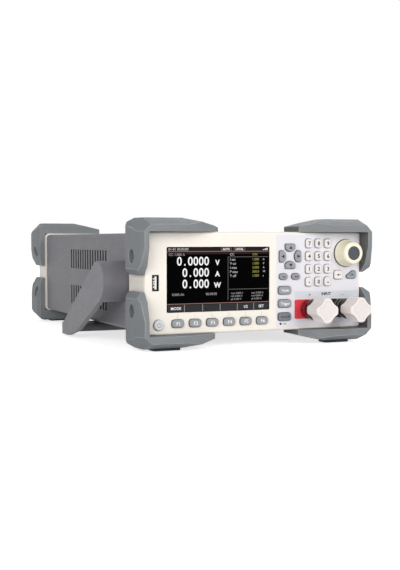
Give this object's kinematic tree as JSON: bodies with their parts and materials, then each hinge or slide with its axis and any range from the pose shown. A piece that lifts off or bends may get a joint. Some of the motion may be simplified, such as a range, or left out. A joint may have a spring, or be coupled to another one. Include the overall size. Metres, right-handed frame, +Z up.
{
  "type": "dc electronic load",
  "caption": "Half-rack bench electronic load with colour display, keypad, encoder knob, clamp terminals, corner bumpers and a swinging handle.",
  "frame": {"origin": "middle of the footprint, on the floor under the rubber feet", "axes": "+X to the user's right, +Y from the front panel to the rear, +Z up"},
  "size_m": [0.26, 0.3996, 0.114],
  "materials": {
    "bezel": "fine satin texture",
    "film": "satin film",
    "window": "clear gloss",
    "display": "gloss",
    "board": "solder resist",
    "plated": "nickel plated",
    "black_plastic": "moulded",
    "dial": "satin",
    "inset": "satin",
    "terminal_red": "moulded gloss",
    "terminal_black": "moulded gloss",
    "brass": "machined",
    "clamp_white": "satin",
    "case_paint": "fine powder coat",
    "sheet_metal": "zinc plated",
    "fins": "black anodised",
    "bumper": "fine matt texture",
    "foot": "matt",
    "handle": "fine texture",
    "key_grey": "satin",
    "key_slate": "satin",
    "key_cream": "satin",
    "key_blue": "satin",
    "key_power": "satin"
  },
  "bodies": {
    "housing": {"front_bezel": "bezel", "rear_frame": "bezel", "keypad_overlay": "film", "display_lens": "window", "lcd_module": "display", "front_board": "board", "main_board": "board", "usb_port": "plated", "handle_pivots": "plated", "bumper_screws": "plated", "rotary_encoder": "black_plastic", "power_inlet": "black_plastic", "fan_frame": "black_plastic", "terminal_base_positive": "terminal_red", "terminal_base_negative": "terminal_black", "terminal_studs": "brass", "case_sleeve": "case_paint", "chassis_tray": "sheet_metal", "rear_panel": "sheet_metal", "heat_sink": "fins", "front_bumpers": "bumper", "rear_bumpers": "bumper", "rubber_feet": "foot"},
    "dial": {"encoder_knob": "dial", "knob_inset": "inset", "encoder_shaft": "plated"},
    "clamp_positive": {"terminal_knob_positive": "clamp_white"},
    "clamp_negative": {"terminal_knob_negative": "clamp_white"},
    "handle": {"handle": "handle"},
    "fan": {"fan_rotor": "black_plastic"},
    "key_f1": {"key_f1": "key_grey"},
    "key_f2": {"key_f2": "key_grey"},
    "key_f3": {"key_f3": "key_grey"},
    "key_f4": {"key_f4": "key_grey"},
    "key_f5": {"key_f5": "key_grey"},
    "key_f6": {"key_f6": "key_grey"},
    "key_up": {"key_up": "key_grey"},
    "key_down": {"key_down": "key_grey"},
    "key_left": {"key_left": "key_grey"},
    "key_right": {"key_right": "key_grey"},
    "key_escape": {"key_escape": "key_grey"},
    "key_shift": {"key_shift": "key_grey"},
    "key_mode": {"key_mode": "key_grey"},
    "key_trigger": {"key_trigger": "key_grey"},
    "key_on_off": {"key_on_off": "key_slate"},
    "key_7": {"key_7": "key_cream"},
    "key_8": {"key_8": "key_cream"},
    "key_9": {"key_9": "key_cream"},
    "key_4": {"key_4": "key_cream"},
    "key_5": {"key_5": "key_cream"},
    "key_6": {"key_6": "key_cream"},
    "key_1": {"key_1": "key_cream"},
    "key_2": {"key_2": "key_cream"},
    "key_3": {"key_3": "key_cream"},
    "key_point": {"key_point": "key_cream"},
    "key_0": {"key_0": "key_cream"},
    "key_minus": {"key_minus": "key_cream"},
    "key_erase": {"key_erase": "key_cream"},
    "key_confirm": {"key_confirm": "key_blue"},
    "power_button": {"power_button": "key_power"}
  },
  "joints": [
    {"name": "handle_swing", "type": "hinge", "parent": "housing", "child": "handle", "pos_m": [0, -0.1088, 0.058], "axis": [-1, 0, 0], "range_deg": [0, 245]},
    {"name": "dial_turn", "type": "hinge", "parent": "housing", "child": "dial", "pos_m": [0.091, -0.1678, 0.0829], "axis": [0, -1, 0], "continuous": true},
    {"name": "clamp_positive_turn", "type": "hinge", "parent": "housing", "child": "clamp_positive", "pos_m": [0.053, -0.1818, 0.0323], "axis": [0, -1, 0], "continuous": true},
    {"name": "clamp_negative_turn", "type": "hinge", "parent": "housing", "child": "clamp_negative", "pos_m": [0.088, -0.1818, 0.0323], "axis": [0, -1, 0], "continuous": true},
    {"name": "fan_spin", "type": "hinge", "parent": "housing", "child": "fan", "pos_m": [-0.04, 0.1682, 0.058], "axis": [0, 1, 0], "continuous": true},
    {"name": "key_f1_press", "type": "slide", "parent": "housing", "child": "key_f1", "axis": [0, 1, 0], "range_m": [0, 0.001], "stiffness_N_per_m": 800, "springref_m": -0.0003},
    {"name": "key_f2_press", "type": "slide", "parent": "housing", "child": "key_f2", "axis": [0, 1, 0], "range_m": [0, 0.001], "stiffness_N_per_m": 800, "springref_m": -0.0003},
    {"name": "key_f3_press", "type": "slide", "parent": "housing", "child": "key_f3", "axis": [0, 1, 0], "range_m": [0, 0.001], "stiffness_N_per_m": 800, "springref_m": -0.0003},
    {"name": "key_f4_press", "type": "slide", "parent": "housing", "child": "key_f4", "axis": [0, 1, 0], "range_m": [0, 0.001], "stiffness_N_per_m": 800, "springref_m": -0.0003},
    {"name": "key_f5_press", "type": "slide", "parent": "housing", "child": "key_f5", "axis": [0, 1, 0], "range_m": [0, 0.001], "stiffness_N_per_m": 800, "springref_m": -0.0003},
    {"name": "key_f6_press", "type": "slide", "parent": "housing", "child": "key_f6", "axis": [0, 1, 0], "range_m": [0, 0.001], "stiffness_N_per_m": 800, "springref_m": -0.0003},
    {"name": "key_up_press", "type": "slide", "parent": "housing", "child": "key_up", "axis": [0, 1, 0], "range_m": [0, 0.001], "stiffness_N_per_m": 800, "springref_m": -0.0003},
    {"name": "key_down_press", "type": "slide", "parent": "housing", "child": "key_down", "axis": [0, 1, 0], "range_m": [0, 0.001], "stiffness_N_per_m": 800, "springref_m": -0.0003},
    {"name": "key_left_press", "type": "slide", "parent": "housing", "child": "key_left", "axis": [0, 1, 0], "range_m": [0, 0.001], "stiffness_N_per_m": 800, "springref_m": -0.0003},
    {"name": "key_right_press", "type": "slide", "parent": "housing", "child": "key_right", "axis": [0, 1, 0], "range_m": [0, 0.001], "stiffness_N_per_m": 800, "springref_m": -0.0003},
    {"name": "key_escape_press", "type": "slide", "parent": "housing", "child": "key_escape", "axis": [0, 1, 0], "range_m": [0, 0.001], "stiffness_N_per_m": 800, "springref_m": -0.0003},
    {"name": "key_shift_press", "type": "slide", "parent": "housing", "child": "key_shift", "axis": [0, 1, 0], "range_m": [0, 0.001], "stiffness_N_per_m": 800, "springref_m": -0.0003},
    {"name": "key_mode_press", "type": "slide", "parent": "housing", "child": "key_mode", "axis": [0, 1, 0], "range_m": [0, 0.001], "stiffness_N_per_m": 800, "springref_m": -0.0003},
    {"name": "key_trigger_press", "type": "slide", "parent": "housing", "child": "key_trigger", "axis": [0, 1, 0], "range_m": [0, 0.001], "stiffness_N_per_m": 800, "springref_m": -0.0003},
    {"name": "key_on_off_press", "type": "slide", "parent": "housing", "child": "key_on_off", "axis": [0, 1, 0], "range_m": [0, 0.001], "stiffness_N_per_m": 800, "springref_m": -0.0003},
    {"name": "key_7_press", "type": "slide", "parent": "housing", "child": "key_7", "axis": [0, 1, 0], "range_m": [0, 0.001], "stiffness_N_per_m": 800, "springref_m": -0.0003},
    {"name": "key_8_press", "type": "slide", "parent": "housing", "child": "key_8", "axis": [0, 1, 0], "range_m": [0, 0.001], "stiffness_N_per_m": 800, "springref_m": -0.0003},
    {"name": "key_9_press", "type": "slide", "parent": "housing", "child": "key_9", "axis": [0, 1, 0], "range_m": [0, 0.001], "stiffness_N_per_m": 800, "springref_m": -0.0003},
    {"name": "key_4_press", "type": "slide", "parent": "housing", "child": "key_4", "axis": [0, 1, 0], "range_m": [0, 0.001], "stiffness_N_per_m": 800, "springref_m": -0.0003},
    {"name": "key_5_press", "type": "slide", "parent": "housing", "child": "key_5", "axis": [0, 1, 0], "range_m": [0, 0.001], "stiffness_N_per_m": 800, "springref_m": -0.0003},
    {"name": "key_6_press", "type": "slide", "parent": "housing", "child": "key_6", "axis": [0, 1, 0], "range_m": [0, 0.001], "stiffness_N_per_m": 800, "springref_m": -0.0003},
    {"name": "key_1_press", "type": "slide", "parent": "housing", "child": "key_1", "axis": [0, 1, 0], "range_m": [0, 0.001], "stiffness_N_per_m": 800, "springref_m": -0.0003},
    {"name": "key_2_press", "type": "slide", "parent": "housing", "child": "key_2", "axis": [0, 1, 0], "range_m": [0, 0.001], "stiffness_N_per_m": 800, "springref_m": -0.0003},
    {"name": "key_3_press", "type": "slide", "parent": "housing", "child": "key_3", "axis": [0, 1, 0], "range_m": [0, 0.001], "stiffness_N_per_m": 800, "springref_m": -0.0003},
    {"name": "key_point_press", "type": "slide", "parent": "housing", "child": "key_point", "axis": [0, 1, 0], "range_m": [0, 0.001], "stiffness_N_per_m": 800, "springref_m": -0.0003},
    {"name": "key_0_press", "type": "slide", "parent": "housing", "child": "key_0", "axis": [0, 1, 0], "range_m": [0, 0.001], "stiffness_N_per_m": 800, "springref_m": -0.0003},
    {"name": "key_minus_press", "type": "slide", "parent": "housing", "child": "key_minus", "axis": [0, 1, 0], "range_m": [0, 0.001], "stiffness_N_per_m": 800, "springref_m": -0.0003},
    {"name": "key_erase_press", "type": "slide", "parent": "housing", "child": "key_erase", "axis": [0, 1, 0], "range_m": [0, 0.001], "stiffness_N_per_m": 800, "springref_m": -0.0003},
    {"name": "key_confirm_press", "type": "slide", "parent": "housing", "child": "key_confirm", "axis": [0, 1, 0], "range_m": [0, 0.001], "stiffness_N_per_m": 800, "springref_m": -0.0003},
    {"name": "power_button_press", "type": "slide", "parent": "housing", "child": "power_button", "axis": [0, 1, 0], "range_m": [0, 0.001], "stiffness_N_per_m": 800, "springref_m": -0.0003}
  ]
}
